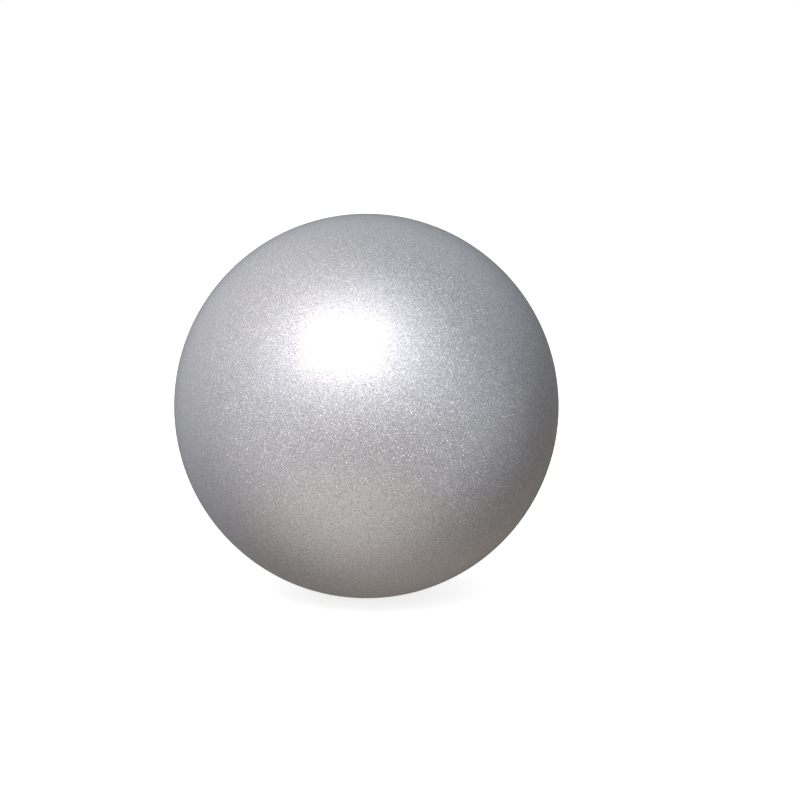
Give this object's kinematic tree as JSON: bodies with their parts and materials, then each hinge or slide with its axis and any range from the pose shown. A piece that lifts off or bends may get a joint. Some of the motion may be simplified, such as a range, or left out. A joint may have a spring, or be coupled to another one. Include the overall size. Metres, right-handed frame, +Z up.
{
  "type": "exercise ball",
  "caption": "Round inflatable exercise ball with a glossy, finely glittered soft wall and a flush plug valve set into it.",
  "frame": {"origin": "centre of the inflated ball's sphere", "axes": "+Z up; +Y along the valve axis, from the centre out through the plug; +X completes a right-handed frame"},
  "size_m": [0.185, 0.1847, 0.185],
  "materials": {
    "glitter_coat": "clear glossy soft vinyl packed with fine silver flakes",
    "soft_pvc": "satin soft PVC in plain grey",
    "seat_pvc": "matte pale grey soft PVC",
    "plug_plastic": "satin white plastic"
  },
  "bodies": {
    "ball": {"flake_coat": "glitter_coat", "ball_wall": "soft_pvc", "valve_seat": "seat_pvc"},
    "plug": {"valve_plug": "plug_plastic"}
  },
  "joints": [
    {"name": "plug_pull", "type": "slide", "parent": "ball", "child": "plug", "axis": [0, 1, 0], "range_m": [0, 0.03]}
  ]
}
